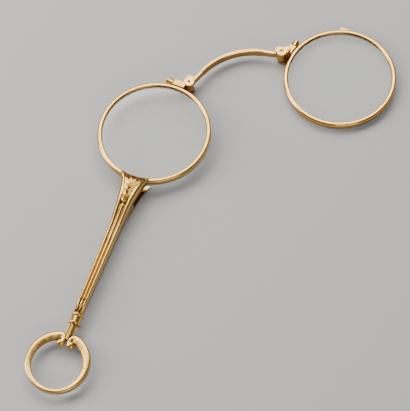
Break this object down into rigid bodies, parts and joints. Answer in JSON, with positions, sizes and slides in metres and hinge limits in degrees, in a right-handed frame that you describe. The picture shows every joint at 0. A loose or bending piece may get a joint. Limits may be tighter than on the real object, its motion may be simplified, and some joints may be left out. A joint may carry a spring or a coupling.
{
  "type": "folding lorgnette",
  "caption": "Folding lorgnette: two round rimmed lenses on a sprung hinged bridge, with a long fluted handle, pierced leaf panel and ribbon ring.",
  "frame": {"origin": "centre of the handle's flat back plate at the mouth, on its outer face", "axes": "+Y from the ribbon ring to the lenses, +X towards the right lens, +Z out of the front face"},
  "size_m": [0.0896, 0.1548, 0.0068],
  "materials": {
    "rolled_gold": "polished warm rolled gold",
    "chased_gold": "polished and chased, darker in the hollows",
    "screw_metal": "turned, lightly worn",
    "spring_steel": "blued grey spring wire and strip",
    "lens_glass": "clear polished glass"
  },
  "bodies": {
    "handle": {"left_eyewire": "rolled_gold", "left_lens": "lens_glass", "left_hinge_arm": "rolled_gold", "left_closing_lug": "rolled_gold", "left_closing_screw": "screw_metal", "left_hinge_pin": "screw_metal", "left_hinge_spring": "spring_steel", "handle_front_shell": "rolled_gold", "handle_back_shell": "rolled_gold", "foliage_panel": "chased_gold", "catch_spring": "spring_steel", "catch_rivet": "screw_metal", "upper_bead": "chased_gold", "collar_drum": "chased_gold", "lower_bead": "chased_gold", "fluted_neck": "chased_gold", "left_scroll": "chased_gold", "right_scroll": "chased_gold", "ribbon_ring": "rolled_gold"},
    "bridge": {"bridge_bar": "rolled_gold", "left_knuckle": "rolled_gold", "right_knuckle": "rolled_gold"},
    "right_lens_group": {"right_eyewire": "rolled_gold", "right_lens": "lens_glass", "right_hinge_arm": "rolled_gold", "right_closing_lug": "rolled_gold", "right_closing_screw": "screw_metal", "right_hinge_pin": "screw_metal", "right_hinge_spring": "spring_steel", "catch_nib": "rolled_gold"},
    "release": {"release_button": "rolled_gold"}
  },
  "joints": [
    {"name": "left_hinge", "type": "hinge", "parent": "handle", "child": "bridge", "pos_m": [0.00455, 0.04402, 0.00352], "axis": [0, 0, 1], "range_deg": [-101.6, 0], "stiffness_Nm_per_rad": 0.002, "springref_deg": 45.84, "deforming": ["catch_spring"]},
    {"name": "right_hinge", "type": "hinge", "parent": "bridge", "child": "right_lens_group", "pos_m": [0.03043, 0.06482, 0.00352], "axis": [0, 0, 1], "range_deg": [-95.7, 0]},
    {"name": "release_push", "type": "slide", "parent": "handle", "child": "release", "axis": [0, 0, 1], "range_m": [0, 0.0005], "stiffness_N_per_m": 400, "springref_m": -0.0002, "deforming": ["catch_spring"]}
  ],
  "couplings": [
    {"joint": "right_hinge", "follows": "left_hinge", "ratio": 0.94074}
  ]
}
